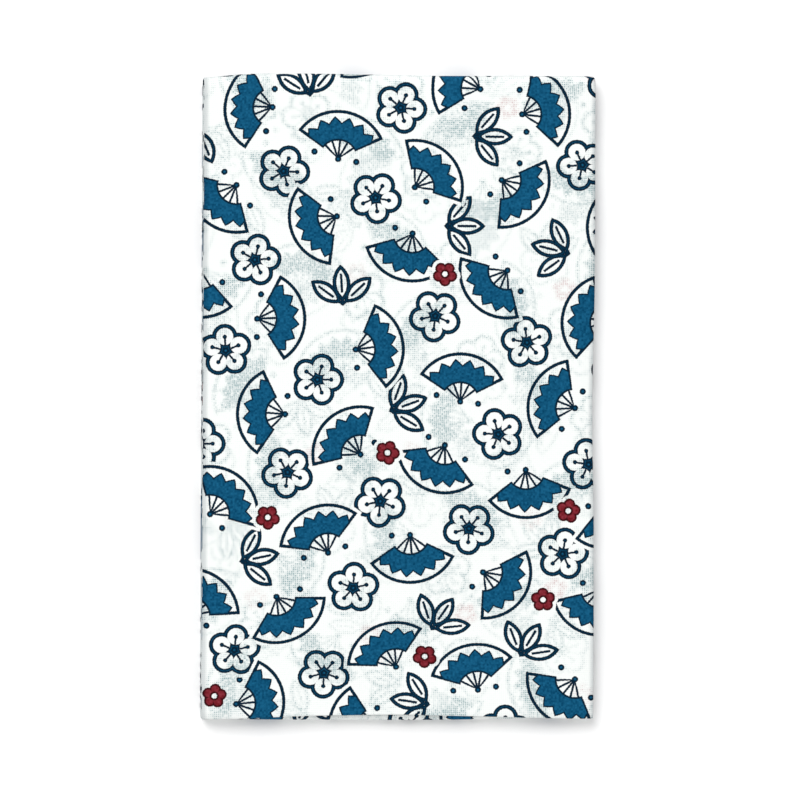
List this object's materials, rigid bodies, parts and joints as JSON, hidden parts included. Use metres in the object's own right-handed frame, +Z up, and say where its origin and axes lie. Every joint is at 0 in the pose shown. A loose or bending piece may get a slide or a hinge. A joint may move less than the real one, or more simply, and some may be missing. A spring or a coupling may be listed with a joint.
{
  "type": "folded tenugui hand towel",
  "caption": "Thin printed cotton hand towel, folded in thirds and over and over into a flat rectangle, with folds on three sides of its front and its cut end just behind the fold on the fourth.",
  "frame": {"origin": "middle of the flat underside", "axes": "+Z up from the surface to the front face, +Y along the folded length to the far end of the front face, which shows a single fold, +X to the right of the front face"},
  "size_m": [0.1124, 0.1846, 0.0073],
  "materials": {
    "printed_cotton": "matt plain-woven bleached cotton, dyed in blue and a little dark red"
  },
  "bodies": {
    "root": {"towel": "printed_cotton"}
  },
  "joints": []
}
